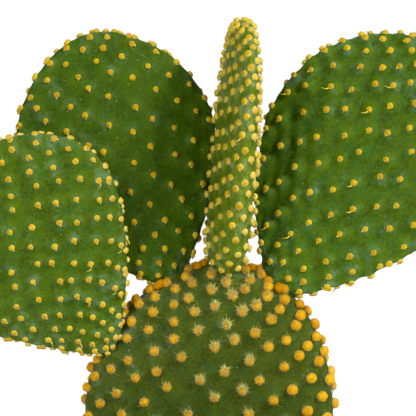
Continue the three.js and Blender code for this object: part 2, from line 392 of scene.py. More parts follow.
def many(shapes, faces):
    """Joins equal shapes, an array of (count, points, 3), into the points and faces of one mesh."""
    count, size = shapes.shape[:2]
    step = (np.arange(count) * size)[:, None, None]
    blocks = [(block[None] + step).reshape(-1, block.shape[1]) for block in faces]
    return shapes.reshape(-1, 3), blocks


def joined(groups):
    """One list of points and one of faces for several groups of like shapes."""
    points = []
    faces = []
    start = 0
    for shapes, shape_faces in groups:
        group_points, group_faces = many(shapes, shape_faces)
        points.append(group_points)
        faces += [block + start for block in group_faces]
        start += len(group_points)
    return np.concatenate(points), faces


def ball_grid(tilts, around):
    """Unit directions in rings at the given angles from straight up, then the two poles."""
    tilt = np.radians(tilts)[:, None]
    turn = np.linspace(0, 2 * pi, around, endpoint=False)
    ring = np.stack([np.sin(tilt) * np.cos(turn), np.sin(tilt) * np.sin(turn),
                     np.cos(tilt) + 0 * turn], -1)
    return np.concatenate([ring.reshape(-1, 3), [[0, 0, 1], [0, 0, -1]]])


def tubes(paths, radii, sides):
    """Thin tubes along paths, an array of (count, steps, 3): at each step but the first and the last
    a ring of the given radius stands across the path; the ends of the path close it."""
    along = np.gradient(paths, axis=1)
    along /= np.linalg.norm(along, axis=-1, keepdims=True)
    helper = np.where(np.abs(along[..., 2:]) > 0.9, [1.0, 0, 0], [0, 0, 1.0])
    side = np.cross(along, helper)
    side /= np.linalg.norm(side, axis=-1, keepdims=True)
    other = np.cross(along, side)
    turn = np.linspace(0, 2 * pi, sides, endpoint=False)
    ring = side[:, :, None] * np.cos(turn)[:, None] + other[:, :, None] * np.sin(turn)[:, None]
    rings = paths[:, 1:-1, None] + ring[:, 1:-1] * radii[:, 1:-1, None, None]
    count = len(paths)
    ends = np.stack([paths[:, 0], paths[:, -1]], axis=1)
    return np.concatenate([rings.reshape(count, -1, 3), ends], axis=1)


# Loose crumbs: small knobbly bits of peat and bark, half sunk in the soil's top.
CRUMBS = 700
CRUMB_TILTS = [50, 105]
CRUMB_SIDES = 5
CRUMB_SMALLEST = 0.45
CRUMB_SPREAD = 1.5
CRUMB_MARGIN = 2
crumb_grid = ball_grid(CRUMB_TILTS, CRUMB_SIDES)
draw = soil_random.random((CRUMBS, 6))
crumb_radius = (SOIL_RADIUS - CRUMB_MARGIN) * np.sqrt(draw[:, 0])
crumb_x = crumb_radius * np.cos(2 * pi * draw[:, 1])
crumb_y = crumb_radius * np.sin(2 * pi * draw[:, 1])
crumb_size = CRUMB_SMALLEST + CRUMB_SPREAD * draw[:, 2] ** 3
crumb_place = np.stack([crumb_x, crumb_y, soil_height(crumb_x, crumb_y) + 0.2 * crumb_size], -1)
knobs = 0.75 + 0.5 * soil_random.random((CRUMBS, len(crumb_grid), 1))
stretch = 0.7 + 0.6 * soil_random.random((CRUMBS, 1, 3))
crumb_shapes = crumb_grid * knobs * stretch * crumb_size[:, None, None] + crumb_place[:, None]
crumb_faces = closed_faces(len(CRUMB_TILTS), CRUMB_SIDES)
crumbs = make_piece("soil_crumbs", *many(crumb_shapes, crumb_faces),
                    soil_finish("peat_crumbs", srgb(50, 40, 24), srgb(128, 112, 72), 0.0008),
                    {"tone": np.repeat(draw[:, 3], len(crumb_grid))}, smooth=False)
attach(crumbs, "root")

# Root fibres: thin bent strands that stick out of the soil, most of them near its edge.
FIBRES = 46
FIBRE_STEPS = 8
FIBRE_SIDES = 5
FIBRE_RADIUS = 0.32
FIBRES_FROM = 24
FIBRES_OVER = 27
draw = soil_random.random((FIBRES, 7))
fibre_turn = 2 * pi * draw[:, 0]
fibre_from = np.stack([np.cos(fibre_turn), np.sin(fibre_turn)], -1)
fibre_from *= (FIBRES_FROM + FIBRES_OVER * draw[:, 1] ** 0.5)[:, None]
fibre_base = np.concatenate([fibre_from, (soil_height(*fibre_from.T) - 1)[:, None]], 1)
head = 2 * pi * draw[:, 2]
reach = 3 + 8 * draw[:, 3]
rise = 2 + 5 * draw[:, 4]
# The first two are longer strands that stand up at the right-hand edge.
fibre_base[:2] = [(51.0, 16, SOIL_EDGE + 1), (52.5, 12, SOIL_EDGE + 1)]
head[:2] = 0.2, 2.9
reach[:2] = 4.5, 4.0
rise[:2] = 17, 10
t = np.linspace(0, 1, FIBRE_STEPS)
sway = np.sin(pi * t * (1 + draw[:, 5:6])) * (draw[:, 6:7] - 0.5) * 3
ahead = np.stack([np.cos(head), np.sin(head), np.zeros(FIBRES)], -1)
aside = np.stack([-np.sin(head), np.cos(head), np.zeros(FIBRES)], -1)
lift = (rise[:, None] * np.sin(pi * 0.62 * t))[..., None] * np.array([0, 0, 1])
fibre_paths = (fibre_base[:, None] + ahead[:, None] * (reach[:, None] * t)[..., None]
               + aside[:, None] * sway[..., None] + lift)
fibre_radii = np.broadcast_to(FIBRE_RADIUS * (1 - 0.75 * t), (FIBRES, FIBRE_STEPS))
fibre_shapes = tubes(fibre_paths, fibre_radii, FIBRE_SIDES)
fibres = make_piece("root_fibres", *many(fibre_shapes, closed_faces(FIBRE_STEPS - 2, FIBRE_SIDES)),
                    soil_finish("dry_roots", srgb(70, 62, 36), srgb(140, 128, 88), 0.0008),
                    {"tone": np.repeat(soil_random.random(FIBRES), fibre_shapes.shape[1])})
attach(fibres, "root")

# ---- The pads ------------------------------------------------------------------------------------
# Flat stem segments with a waxy green skin. The old pad is half buried in the soil, and the four
# young ones grow from its rim. Each swells a little under every tuft, and dips between them.

# Each pad: the place of its foot; its tilt to the right, its lean forward and its turn about its long
# axis, in degrees; its sizes; how flare, waist, swell and bend change its outline; then the number,
# sense, first angle, gathering and rise of its spiral of tufts, and the number along its edges.
PADS = {
    "mother_pad": dict(
        base=(0.4, 0, 52), tilt=3.7, lean=0, turn=0, length=121.5, width=104.5, thickness=19,
        flare=-0.06, waist=0, swell=0, bend=-0.07, tufts=301, sense=1, first=161, gather=0.07,
        rise=0.18, edge=0, old=True, seed=1),
    "left_front_pad": dict(
        base=(-40.7, -3.8, 137.2), tilt=-37.4, lean=11, turn=-8, length=105.2, width=90, thickness=12,
        flare=0.5, waist=-0.09, swell=0.1, bend=0, tufts=329, sense=-1, first=26, gather=0.12,
        rise=0.05, edge=26, old=False, seed=2),
    "left_back_pad": dict(
        base=(-15.3, 3, 163.8), tilt=-19.6, lean=-8, turn=14, length=111, width=83.5, thickness=12,
        flare=0.25, waist=-0.3, swell=0.1, bend=-0.05, tufts=208, sense=-1, first=276, gather=0.14,
        rise=0.07, edge=44, old=False, seed=3),
    "centre_pad": dict(
        base=(6.9, 0, 169.1), tilt=4.4, lean=0, turn=-82, length=106.3, width=62, thickness=15.6,
        flare=0.2, waist=0.3, swell=-0.32, bend=0, tufts=266, sense=-1, first=271, gather=-0.02,
        rise=0.16, edge=0, old=False, seed=4),
    "right_pad": dict(
        base=(29.2, 2, 161.1), tilt=33.2, lean=-6, turn=-14, length=122.5, width=88.4, thickness=12,
        flare=0.25, waist=-0.22, swell=0.1, bend=-0.01, tufts=263, sense=1, first=12, gather=0.17,
        rise=0.16, edge=40, old=False, seed=5),
}
SECTION_POWER = 2.2
THICKNESS_POWER = 0.4
GOLDEN_ANGLE = pi * (3 - 5**0.5)
WOBBLE = 0.022
EDGE_WOBBLE = 0.3
OLD_TUFT = dict(radius=2.3, height=2.3)
YOUNG_TUFT = dict(radius=1.5, height=1.7)
PAD_ROWS = 150
PAD_AROUND = 260
SLOPE_STEP = 1e-3
BELL_BATCH = 4000
WAVE_COUNT = 7


def pad_axes(pad):
    """The directions of a pad's width, length and face in the plant, as the columns of a matrix: its
    long axis leans to the right by tilt and forward by lean, and the pad is turned about it."""
    tilt, lean, turn = (radians(pad[key]) for key in ("tilt", "lean", "turn"))
    along = np.array([sin(tilt), 0, cos(tilt)])
    across = np.array([cos(tilt), 0, -sin(tilt)])
    face = np.array([0, -1.0, 0])
    along, face = along * cos(lean) + face * sin(lean), face * cos(lean) - along * sin(lean)
    face, across = face * cos(turn) + across * sin(turn), across * cos(turn) - face * sin(turn)
    return np.stack([across, along, face], axis=1)


def half_sizes(pad, s):
    """Half the width and half the thickness at height s, from -1 at the foot to 1 at the tip: a
    circle's width at s, wider towards the tip by flare and waist, thicker there by swell."""
    circle = np.sqrt(np.maximum(0, 1 - s * s))
    width = pad["width"] / 2 * circle * (1 + pad["flare"] * s + pad["waist"] * s * s)
    thickness = pad["thickness"] / 2 * circle**THICKNESS_POWER * (1 + pad["swell"] * s)
    return width, thickness


def skin_points(pad, s, angle):
    """The skin in the pad's own axes: at each height s an oval with a slightly squared outline, set
    off sideways by bend in the middle of the pad's length."""
    half_width, half_thickness = half_sizes(pad, s)
    power = 2 / SECTION_POWER
    across = half_width * np.sign(np.cos(angle)) * np.abs(np.cos(angle)) ** power
    through = half_thickness * np.sign(np.sin(angle)) * np.abs(np.sin(angle)) ** power
    offset = pad["bend"] * pad["width"] * (1 - s * s) / 2
    return np.stack([across + offset, pad["length"] / 2 * (1 + s), through], -1)


def skin_normals(pad, s, angle):
    """Directions straight out of the skin, from the slopes of its formula along and around the pad."""
    place = skin_points(pad, s, angle)
    inwards = np.where(s > 0, -SLOPE_STEP, SLOPE_STEP)
    along = skin_points(pad, s + inwards, angle) - place
    around = skin_points(pad, s, angle + SLOPE_STEP) - place
    out = np.cross(around, along)
    out /= np.linalg.norm(out, axis=-1, keepdims=True) + 1e-12
    middle = np.array([0, pad["length"] / 2, 0])
    return out * np.sign(((place - middle) * out).sum(-1, keepdims=True))


def to_plant(pad, points):
    """Points of a pad's own axes in the plant's."""
    return points @ pad_axes(pad).T + np.array(pad["base"])


def depth_in(pad, points, grow):
    """How deep points of the plant lie in a pad raised by grow all round: under 1 is inside."""
    own = (points - np.array(pad["base"])) @ pad_axes(pad)
    s = (own[:, 1] - pad["length"] / 2) / (pad["length"] / 2 + grow)
    half_width, half_thickness = half_sizes(pad, np.clip(s, -1, 1))
    across = np.abs(own[:, 0] - pad["bend"] * pad["width"] * (1 - s * s) / 2) / (half_width + grow)
    through = np.abs(own[:, 2]) / (half_thickness + grow)
    return np.where(np.abs(s) >= 1, 2, across**SECTION_POWER + through**SECTION_POWER)


def tuft_spots(pad):
    """The heights and angles of a pad's tufts: even steps of height from foot to tip, each turned by
    the golden angle from the one before, drawn together a little on the faces and the tip; then a
    row along each edge, by turns. Each is set off a little by the sine of its number's square."""
    i = np.arange(pad["tufts"])
    even = -1 + 2 * (i + 0.5) / pad["tufts"]
    turn = radians(pad["first"]) + pad["sense"] * GOLDEN_ANGLE * i
    s = even + (pad["rise"] + WOBBLE * np.sin(i * i)) * (1 - even * even)
    angle = turn + pad["gather"] * np.sin(2 * turn) + 1.5 * WOBBLE * np.sin(1.5 * i * i)
    k = np.arange(pad["edge"])
    edge = -np.cos(pi * (k + 0.5) / max(pad["edge"], 1))
    return np.append(s, edge), np.append(angle, pi * (k % 2) + EDGE_WOBBLE * np.sin(k * k))


def bell_sum(points, centres, size):
    """At each point the sum of bell-shaped bumps of height 1 about the centres."""
    total = np.zeros(len(points))
    for part in range(0, len(points), BELL_BATCH):
        k = slice(part, part + BELL_BATCH)
        gap = ((points[k, None] - centres) ** 2).sum(-1)
        total[k] = np.exp(-gap / (2 * size**2)).sum(-1)
    return total


def waves(points, seed, length):
    """Soft swells of the skin: the mean of sine waves in seeded directions, each length long."""
    draw = np.random.default_rng(seed)
    heading = draw.normal(size=(WAVE_COUNT, 3))
    heading *= 2 * pi / length / np.linalg.norm(heading, axis=1, keepdims=True)
    return np.sin(points @ heading.T + draw.random(WAVE_COUNT) * 2 * pi).mean(axis=1)


def mounds(pad, own, size):
    """From 0 far from any tuft to 1 under one: bells about the tufts that merge softly where they
    crowd, as the cube root of the sum of their cubes."""
    return bell_sum(own, skin_points(pad, *tuft_spots(pad)), size / 3**0.5) ** (1 / 3)


# How high the mounds under each pad's tufts are, and their radius.
MOUNDS = {
    "mother_pad": (0.9, 2.7),
    "left_front_pad": (1.4, 2.2),
    "left_back_pad": (1.1, 2.2),
    "centre_pad": (1.4, 2.0),
    "right_pad": (2.4, 2.2),
}
MOUND_LEVEL = 0.85
RIM_LOSS = 0.6
RIM_HALF_WIDTH = 2.4
LONG_SWELL = 0.4
LONG_SWELL_LENGTH = 30
SHORT_SWELL = 0.35
SHORT_SWELL_LENGTH = 12
FURROW_DEPTH = 0.22
FURROW_GAP = 6.2
FURROWS_END = 22


def relief(name, own):
    """How far the skin stands off the plain egg, in millimetres: mounds under the tufts, lower along
    the rim, soft swells, and near the right pad's inner edge a few upright furrows."""
    pad = PADS[name]
    height, size = MOUNDS[name]
    rim = np.exp(-((own[:, 2] / RIM_HALF_WIDTH) ** 2))
    lift = height * (1 - RIM_LOSS * rim) * (mounds(pad, own, size) - MOUND_LEVEL)
    long_waves = waves(own, pad["seed"], LONG_SWELL_LENGTH)
    short_waves = waves(own, pad["seed"] + 50, SHORT_SWELL_LENGTH)
    lift += LONG_SWELL * long_waves + SHORT_SWELL * short_waves
    if name == "right_pad":
        sideways = (own * pad_axes(pad)[0]).sum(-1) + 1.5 * waves(own, 77, 40)
        inner = 1 / (1 + np.exp((sideways - FURROWS_END) / 4))
        lift += FURROW_DEPTH * inner * np.sin(2 * pi * sideways / FURROW_GAP)
    return lift


def skin_finish(name, colours):
    """Waxy skin: clouds of two greens with a fine grain, cooler and warmer green in places, a lighter
    green on the mounds as painted sheen and a darker one between them as painted shade, patches of
    pale bloom that are real wax and, on the mounds, painted sheen, pale fluff and a few dry specks."""
    dark, light, bloom, cool, warm = (srgb(*colour) for colour in colours)
    skin = Finish(name, Specular_IOR_Level=0.07)
    clouds = skin.noise(0.009, 4.0, 0.6)
    fine = skin.noise(0.0016, 4.0, 0.75)
    grain = skin.noise(0.0005, 2.0)
    mound = skin.attribute("mound")
    # The mound term paints the skin lighter on the mounds and darker between them: painted sheen on
    # their lit slopes and painted shade in the dips.
    share = clouds * 0.34 + fine * 0.39 + grain * 0.27 + mound * 0.1
    body = skin.mix(share.above(0.4, 0.66), dark, light)
    body = skin.mix(skin.noise(0.0036, 4.0, 0.75).above(0.46, 0.62) * 0.4, body, cool)
    body = skin.mix(skin.noise(0.0012, 4.0, 0.8).above(0.5, 0.62) * 0.35, body, warm)
    haze = skin.noise(0.0034, 6.0, 0.75) * 0.8 + skin.noise(0.012, 2.0) * 0.4
    # The pale bloom: real wax patches from the haze, and painted sheen on the mounds from the mound
    # term.
    wax_and_sheen = (haze + mound * 0.2).above(0.73, 0.91)
    body = skin.mix(wax_and_sheen * 0.5, body, bloom)
    fluff = skin.noise(0.0009, 6.0, 0.85).above(0.57, 0.69)
    body = skin.mix(fluff * 0.3, body, bloom)
    specks = 1 - skin.cells(0.007).above(0.03, 0.06)
    body = skin.mix(specks * 0.5, body, srgb(170, 176, 120))
    skin.bump(fine * 0.5 + skin.cells(0.0009) * 0.3 + clouds * 0.2, 0.0003, 0.9)
    return skin.surface(body, fine * 0.2 + 0.4)


# Each skin's dark and light green, its wax bloom, and its cooler and its warmer green. The left
# back pad's greens are painted darker for the shade it stands in, and the centre pad's greens and
# bloom lighter for the light on it: painted shade and painted light.
SKINS = {
    "mother_pad": [(38, 54, 0), (78, 96, 10), (120, 133, 110), (34, 84, 44), (96, 82, 20)],
    "left_front_pad": [(38, 60, 0), (81, 110, 0), (110, 141, 114), (44, 106, 44), (108, 100, 4)],
    "left_back_pad": [(32, 54, 0), (72, 102, 0), (88, 120, 88), (30, 88, 10), (88, 82, 0)],
    "centre_pad": [(56, 76, 0), (105, 129, 10), (152, 170, 130), (62, 114, 46), (126, 116, 20)],
    "right_pad": [(36, 60, 0), (82, 114, 0), (101, 136, 110), (36, 98, 40), (100, 92, 4)],
}
TINTED_RADIUS = 2.6
NEAR_TIP = 0.9999

for name, pad in PADS.items():
    rows = -np.cos(pi * np.arange(1, PAD_ROWS) / PAD_ROWS)
    angles = np.linspace(0, 2 * pi, PAD_AROUND, endpoint=False)
    s = np.concatenate([np.repeat(rows, PAD_AROUND), [-1, 1]])
    angle = np.concatenate([np.tile(angles, len(rows)), [0, 0]])
    own = skin_points(pad, s, angle)
    out = skin_normals(pad, np.clip(s, -NEAR_TIP, NEAR_TIP), angle)
    out[-2:] = [[0, -1, 0], [0, 1, 0]]
    # How near each point lies to a tuft, which the skin's finish reads for its painted sheen and shade.
    mound = mounds(pad, own, TINTED_RADIUS)
    own = own + out * relief(name, own)[:, None]
    skin = make_piece(name + "_skin", to_plant(pad, own), closed_faces(len(rows), PAD_AROUND),
                      skin_finish(name + "_wax", SKINS[name]), {"mound": mound})
    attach(skin, "root")
    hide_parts(name)

# ---- The old pad's tufts -------------------------------------------------------------------------
# Cushions of fine bristles, one on each spot of the pad's spiral and more of them crowded on its top
# rim. They are felted and golden, and shaggy with dry, straw-coloured ends in the pad's middle. Those
# on the top rim and on the left of the rim are a darker, deeper orange without straw: partly their
# age, partly painted shade from the young pads above them.

OLD_TILTS = [18, 38, 59, 81, 106]
OLD_AROUND = 12
OLD_BALL = ball_grid(OLD_TILTS, OLD_AROUND)
# A dome's height and how far its middle is lifted, as shares of the tuft's size.
OLD_DOME = (0.85, 0.25)
OLD_SIZE = 2.05
BRISTLES = 160
BRISTLE_RADIUS = 0.14
PLUMP_FROM = 34
OLD_RIM = 4
AGED_AND_SHADED_FROM = 80
AGED_AND_SHADED_OVER = 25
SHAGGY_HALF_WIDTH = 21
SHAGGY_FROM = 48
PRESS = 0.45
LOWEST_TUFT = SOIL_EDGE + SOIL_CROWN
ROOM = 0.8
CROWDED = 44
CROWDED_REACH = 0.72
CROWDED_ROOM = 0.48
CROWDED_WOBBLE = 0.6


def standing_spots(name, spots, placed, room):
    """Where the tufts of a pad stand: their places on the plain and on the raised skin, and their
    directions out and towards the pad's foot. Those in the soil, under another pad's foot or nearer
    to a tuft that stands already than a share, the room, of their two radii are missing."""
    pad = PADS[name]
    tuft = OLD_TUFT if pad["old"] else YOUNG_TUFT
    s, angle = spots
    own = skin_points(pad, s, angle)
    axes = pad_axes(pad)
    out = skin_normals(pad, s, angle) @ axes.T
    place = to_plant(pad, own)
    lifted = place + out * relief(name, own)[:, None]
    foot = (skin_points(pad, np.maximum(s - 0.02, -1), angle) - own) @ axes.T
    foot -= out * (foot * out).sum(-1, keepdims=True)
    foot /= np.linalg.norm(foot, axis=-1, keepdims=True) + 1e-9
    clear = place[:, 2] > LOWEST_TUFT + tuft["radius"]
    grow = tuft["radius"] * PRESS
    for other_name, other in PADS.items():
        if other_name != name:
            clear &= depth_in(other, place, grow) >= 1
            clear &= depth_in(other, place + out * tuft["height"], grow) >= 1
    for others, radius in placed:
        gap = np.linalg.norm(place[:, None] - others, axis=-1).min(axis=1)
        clear &= gap > room * (tuft["radius"] + radius)
    placed.append((place[clear], tuft["radius"]))
    return own[clear], lifted[clear], out[clear], foot[clear]


def crowded_spots():
    """Extra spots on the old pad's top rim: even steps along its two edges, from the middle of the
    top outwards, each turned off the edge by a sine of its own number's square."""
    number = np.arange(CROWDED)
    s = np.cos(CROWDED_REACH * (number + 0.5) / CROWDED)
    return s, pi * (number % 2) + CROWDED_WOBBLE * np.sin(2.4 * number**2)


def wool_finish(name, root, crown, straw):
    """Fine bristles: darker at their roots, bright at their tips, straw coloured where they have
    dried, each tuft a little lighter or darker, with the ends of the bristles as a fine grain."""
    wool = Finish(name, Specular_IOR_Level=0.05, Subsurface_Weight=0.5, Subsurface_Scale=0.001,
                  Subsurface_Radius=(1.0, 0.7, 0.15))
    grain = wool.cells(0.0007)
    clump = wool.noise(0.0012, 3.0, 0.6)
    share = wool.attribute("tip") * 0.9 + clump * 0.8 + wool.attribute("tone") * 0.35 - 0.6
    body = wool.mix(share.above(0.1, 0.85), root, crown)
    body = wool.mix(grain.above(0.3, 0.8) * 0.38, body, root)
    body = wool.mix(wool.attribute("dry"), body, straw)
    wool.bump(1 - grain, 0.0002, 0.7)
    return wool.surface(body, clump * 0.1 + 0.8)


def domed(place, out, foot, size, dome, directions):
    """Points of the tufts' domes: the directions times the size, flattened along the way out and
    lifted by the dome's two shares of the size, on each tuft's own side, foot and out axes."""
    flat, lift = dome
    local = directions * size[:, None, None] * np.array([1, 1, flat])
    local[..., 2] += lift * size[:, None]
    axes = np.stack([np.cross(foot, out), foot, out], 1)
    return place[:, None] + np.einsum("nkj,njc->nkc", local, axes)


def cushions(ball, spots, size, dome, rough, draw):
    """Round cushions on their spots: the ball's directions, each drawn in or out by up to a seeded
    share of the size."""
    knobs = 1 + rough[:, None] * (2 * draw.random((len(size), len(ball))) - 1)
    return domed(*spots, size, dome, ball * knobs[..., None])


def dome_directions(bristles, lowest, jitter, count, draw):
    """Each tuft's bristle directions: spread evenly, a golden angle apart, from the dome's top down
    to its lowest rise, and then drawn aside by a seeded jitter."""
    rise = 1 - (np.arange(bristles) + 0.5) / bristles * (1 - lowest)
    turn = np.arange(bristles) * GOLDEN_ANGLE
    spread = np.sqrt(1 - rise**2)
    dome = np.stack([spread * np.cos(turn), spread * np.sin(turn), rise], -1)
    return dome + jitter * (draw.random((count, bristles, 3)) - 0.5)


def spikes(near, far, radius):
    """Thin three-sided pyramids from near to far, arrays of points: three corners at the radius
    around each near point, across the spike, and the far point."""
    along = far - near
    along = along / np.linalg.norm(along, axis=-1, keepdims=True)
    side = np.cross(along, np.where(np.abs(along[:, 2:]) > 0.9, [1.0, 0, 0], [0, 0, 1.0]))
    side /= np.linalg.norm(side, axis=-1, keepdims=True)
    other = np.cross(along, side)
    turn = np.arange(3) * 2 * pi / 3
    ring = side[:, None] * np.cos(turn)[:, None] + other[:, None] * np.sin(turn)[:, None]
    return np.concatenate([near[:, None] + radius * ring, far[:, None]], axis=1)


SPIKE_FACES = [np.array([[0, 1, 3], [1, 2, 3], [2, 0, 3], [0, 2, 1]])]
placed_tufts = []
draw = np.random.default_rng(21)
regular = standing_spots("mother_pad", tuft_spots(PADS["mother_pad"]), placed_tufts, ROOM)
crowded = standing_spots("mother_pad", crowded_spots(), placed_tufts, CROWDED_ROOM)
own, place, out, foot = (np.concatenate(both) for both in zip(regular, crowded))
count = len(place)
in_crowd = np.arange(count) >= len(regular[0])
side = np.cross(foot, out)
tone = draw.random(count)
rightward = np.clip(own[:, 0] / PLUMP_FROM, -0.75, 1)
rim = np.exp(-((own[:, 2] / OLD_RIM) ** 2))
size = OLD_SIZE + 0.45 * np.maximum(rightward, 0) + 0.2 * rim * (rightward < 0)
size *= 0.92 + 0.16 * draw.random(count)
shaggy = np.exp(-((own[:, 0] / SHAGGY_HALF_WIDTH) ** 2)) * (own[:, 1] > SHAGGY_FROM)
shaggy = np.maximum(shaggy, 0.4 * (rightward < 0.35)) * (1 - 0.8 * rim)
shaggy *= (0.6 + 0.4 * draw.random(count)) * ~in_crowd
rough = 0.09 + 0.05 * (rightward < 0.3)
core = size * (0.93 - 0.2 * shaggy)
balls = cushions(OLD_BALL, (place, out, foot), core, OLD_DOME, rough, draw)
# Tufts on the rim high up, on its left side and crowded on top are painted darker and free of straw:
# partly their age, partly painted shade under the young pads.
high_up = np.clip((own[:, 1] - AGED_AND_SHADED_FROM) / AGED_AND_SHADED_OVER, 0, 1)
aged_and_shaded = rim * np.maximum(high_up, 0.7 * (rightward < 0))
aged_and_shaded = np.maximum(aged_and_shaded, in_crowd)
fresh_and_lit = 1 - aged_and_shaded
tips = 0.75 * np.clip((OLD_BALL[:, 2] + 0.35) / 1.1, 0, 1)

# The bristles' directions spread evenly over the cushion's dome; those on its upper side are long
# and dry where the tuft is shaggy.
heading = dome_directions(BRISTLES, 0.12, 1.0, count, draw)
upward = np.clip(0.35 - heading[..., 1], 0, 1)
chance = draw.random((count, BRISTLES))
long = 0.95 + 0.2 * chance + shaggy[:, None] * (0.15 + upward * (0.25 + 1.3 * chance**2))
sway = np.stack([draw.random(count) - 0.5, -0.3 - 0.3 * draw.random(count), np.zeros(count)], -1)
heading += (shaggy[:, None] * sway)[:, None]
heading /= np.linalg.norm(heading, axis=-1, keepdims=True)
near = domed(place, out, foot, size, OLD_DOME, heading * 0.7)
far = domed(place, out, foot, size, OLD_DOME, heading * long[..., None])
bristles = spikes(near.reshape(-1, 3), far.reshape(-1, 3), BRISTLE_RADIUS)
ball_faces = closed_faces(len(OLD_TILTS), OLD_AROUND)
points, faces = joined([(balls, ball_faces), (bristles, SPIKE_FACES)])
dry = np.minimum(0.08 + shaggy[:, None] ** 2 * (0.8 + upward) * (0.3 + 1.4 * chance), 1)
dry *= fresh_and_lit[:, None]
old_tufts = make_piece(
    "mother_pad_tufts", points, faces,
    wool_finish("old_bristles", srgb(180, 118, 0), srgb(255, 190, 0), srgb(255, 240, 130)),
    {
        "tip": np.concatenate([
            np.outer(1 - 0.6 * aged_and_shaded, tips).ravel(),
            np.outer(np.repeat(1 - 0.6 * aged_and_shaded, BRISTLES), [0.3, 0.3, 0.3, 1.0]).ravel()]),
        "tone": np.concatenate([np.repeat(tone, len(OLD_BALL)),
                                np.repeat(draw.random(len(bristles)), 4)]),
        "dry": np.concatenate([
            (np.outer(0.3 * fresh_and_lit, (1 - np.clip(OLD_BALL[:, 2], 0, 1)) ** 1.5)
             + np.outer(0.5 * shaggy**2, np.clip(0.5 - OLD_BALL[:, 1], 0, 1))).ravel(),
            np.outer(dry, [0.2, 0.2, 0.2, 1.2]).ravel()]),
    })
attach(old_tufts, "root")

# ---- The old pad's loose hairs -------------------------------------------------------------------
# Fine dry bristles that have come out of the shaggy tufts and lie about them on the skin, bent and
# straw coloured.

HAIRS_PER_TUFT = 8
HAIR_STEPS = 6
HAIR_SIDES = 3
HAIR_RADIUS = 0.065
HAIRY_FROM = 0.18
hairy = shaggy > HAIRY_FROM
roots = np.repeat(place[hairy], HAIRS_PER_TUFT, axis=0)
outs, feet, sides = (np.repeat(line[hairy], HAIRS_PER_TUFT, axis=0) for line in (out, foot, side))
draw = np.random.default_rng(31)
chance = draw.random((len(roots), 6))
t = np.linspace(0, 1, HAIR_STEPS)
heading = pi * (chance[:, 0] * 1.3 - 0.15)
reach = 1.2 + 3.4 * chance[:, 1] ** 2
bow = 1.6 * (chance[:, 2] - 0.5)
line = -sides * np.cos(heading)[:, None] - feet * np.sin(heading)[:, None]
across = np.cross(outs, line)
stand = 1.2 + (0.4 + 1.6 * chance[:, 3])[:, None] * np.sin(pi * t)
hair_paths = (roots[:, None] + line[:, None] * (1.0 + reach[:, None] * t)[..., None]
              + across[:, None] * (bow[:, None] * np.sin(pi * t))[..., None]
              + outs[:, None] * stand[..., None])
hair_radii = np.broadcast_to(HAIR_RADIUS * (1 - 0.6 * t), (len(roots), HAIR_STEPS))
hairs = tubes(hair_paths, hair_radii, HAIR_SIDES)
points, faces = many(hairs, closed_faces(HAIR_STEPS - 2, HAIR_SIDES))
loose_hairs = make_piece(
    "loose_hairs", points, faces,
    wool_finish("dry_hairs", srgb(150, 140, 70), srgb(190, 180, 110), srgb(200, 192, 130)),
    {
        "tip": np.full(len(points), 0.7),
        "tone": np.repeat(chance[:, 4], hairs.shape[1]),
        "dry": np.repeat(chance[:, 5], hairs.shape[1]),
    })
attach(loose_hairs, "root")

# ---- The young pads' tufts -----------------------------------------------------------------------
# Small round cushions, bright yellow. Below each stands the dried leaf that it grew with: a short
# cream claw that points to the pad's foot, and on some a long hook that curls off sideways.

YOUNG_TILTS = [30, 60, 90, 118]
YOUNG_AROUND = 8
YOUNG_BALL = ball_grid(YOUNG_TILTS, YOUNG_AROUND)
YOUNG_DOME = (0.78, 0.15)
FINE_BRISTLES = 22
FINE_RADIUS = 0.11
LEAF_STEPS = 6
LEAF_SIDES = 3
LEAF_RADIUS = 0.85
